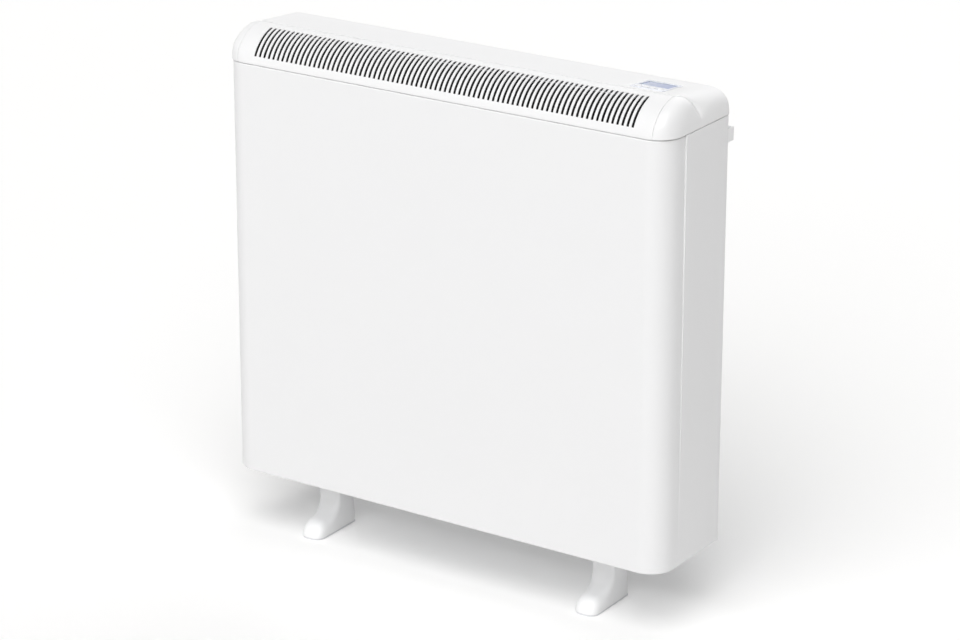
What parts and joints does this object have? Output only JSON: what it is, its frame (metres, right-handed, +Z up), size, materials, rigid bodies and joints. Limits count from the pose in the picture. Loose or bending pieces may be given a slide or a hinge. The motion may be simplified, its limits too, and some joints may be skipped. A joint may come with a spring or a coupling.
{
  "type": "storage heater",
  "caption": "Floor-standing storage heater: wrapped steel case, rounded nose with a slotted air outlet, sloping top with a small control panel, and swept feet.",
  "frame": {"origin": "on the floor, under the middle of the whole heater, wall brackets included", "axes": "+Z up, +X to the right seen from the front, -Y out of the front panel towards the room, +Y towards the wall"},
  "size_m": [0.702, 0.184, 0.73],
  "materials": {
    "case_white": "satin white powder coat",
    "top_white": "fine satin white moulding",
    "bezel": "smooth pale bluish white",
    "lcd_window": "clear over a pale blue liquid crystal",
    "lcd_module": "pale blue glass sandwich",
    "key_white": "satin",
    "foot_white": "satin white moulding",
    "pad_rubber": "matt light grey",
    "bracket_white": "white powder coat",
    "zinc_screw": "bright zinc",
    "zinc_sheet": "zinc-coated sheet",
    "insulation": "glass cloth round a light insulating board",
    "brick": "fired iron-rich brick",
    "element": "dull steel sheath",
    "ceramic": "unglazed",
    "black_sheet": "matt black",
    "board_green": "lacquered board",
    "tray_grey": "moulded tray",
    "beige_plastic": "moulded",
    "black_plastic": "moulded",
    "brass": "plain"
  },
  "bodies": {
    "heater": {"front_panel": "case_white", "side_panel_left": "case_white", "side_panel_right": "case_white", "rear_panel": "zinc_sheet", "base_plate": "zinc_sheet", "top_cover": "top_white", "air_outlet_grille": "top_white", "end_cap_left": "top_white", "end_cap_right": "top_white", "display_bezel": "bezel", "display_window": "lcd_window", "display_module": "lcd_module", "control_board": "board_green", "control_tray": "tray_grey", "foot_left": "foot_white", "foot_right": "foot_white", "foot_pad_left": "pad_rubber", "foot_pad_right": "pad_rubber", "foot_screws": "zinc_screw", "wall_bracket_left": "bracket_white", "wall_bracket_right": "bracket_white", "bracket_screws": "zinc_screw", "panel_screws": "zinc_screw", "cover_screws": "zinc_screw", "inner_case": "zinc_sheet", "inner_case_lid": "zinc_sheet", "core_stands": "zinc_sheet", "insulation_front": "insulation", "insulation_rear": "insulation", "insulation_left": "insulation", "insulation_right": "insulation", "insulation_base": "insulation", "insulation_top": "insulation", "storage_bricks_1": "brick", "storage_bricks_2": "brick", "storage_bricks_3": "brick", "storage_bricks_4": "brick", "heating_element_1": "element", "heating_element_2": "element", "heating_element_3": "element", "heating_element_4": "element", "element_bushes": "ceramic", "convector_element": "element", "outlet_duct": "black_sheet", "damper_motor": "beige_plastic", "component_plate": "zinc_sheet", "power_board": "board_green", "terminal_block": "beige_plastic", "thermal_cutout": "black_plastic", "core_sensor": "zinc_screw", "room_sensor": "black_plastic", "cable_gland": "black_plastic", "earth_stud": "brass"},
    "button_1": {"button_1": "key_white"},
    "button_2": {"button_2": "key_white"},
    "button_3": {"button_3": "key_white"},
    "button_4": {"button_4": "key_white"},
    "damper": {"damper_flap": "black_sheet", "damper_rod": "zinc_screw"}
  },
  "joints": [
    {"name": "button_1_press", "type": "slide", "parent": "heater", "child": "button_1", "axis": [0, -0.0958, -0.9954], "range_m": [0, 0.0006], "stiffness_N_per_m": 200},
    {"name": "button_2_press", "type": "slide", "parent": "heater", "child": "button_2", "axis": [0, -0.0958, -0.9954], "range_m": [0, 0.0006], "stiffness_N_per_m": 200},
    {"name": "button_3_press", "type": "slide", "parent": "heater", "child": "button_3", "axis": [0, -0.0958, -0.9954], "range_m": [0, 0.0006], "stiffness_N_per_m": 200},
    {"name": "button_4_press", "type": "slide", "parent": "heater", "child": "button_4", "axis": [0, -0.0958, -0.9954], "range_m": [0, 0.0006], "stiffness_N_per_m": 200},
    {"name": "damper_hinge", "type": "hinge", "parent": "heater", "child": "damper", "pos_m": [0, -0.04345, 0.64195], "axis": [-1, 0, 0], "range_deg": [0, 65]}
  ]
}
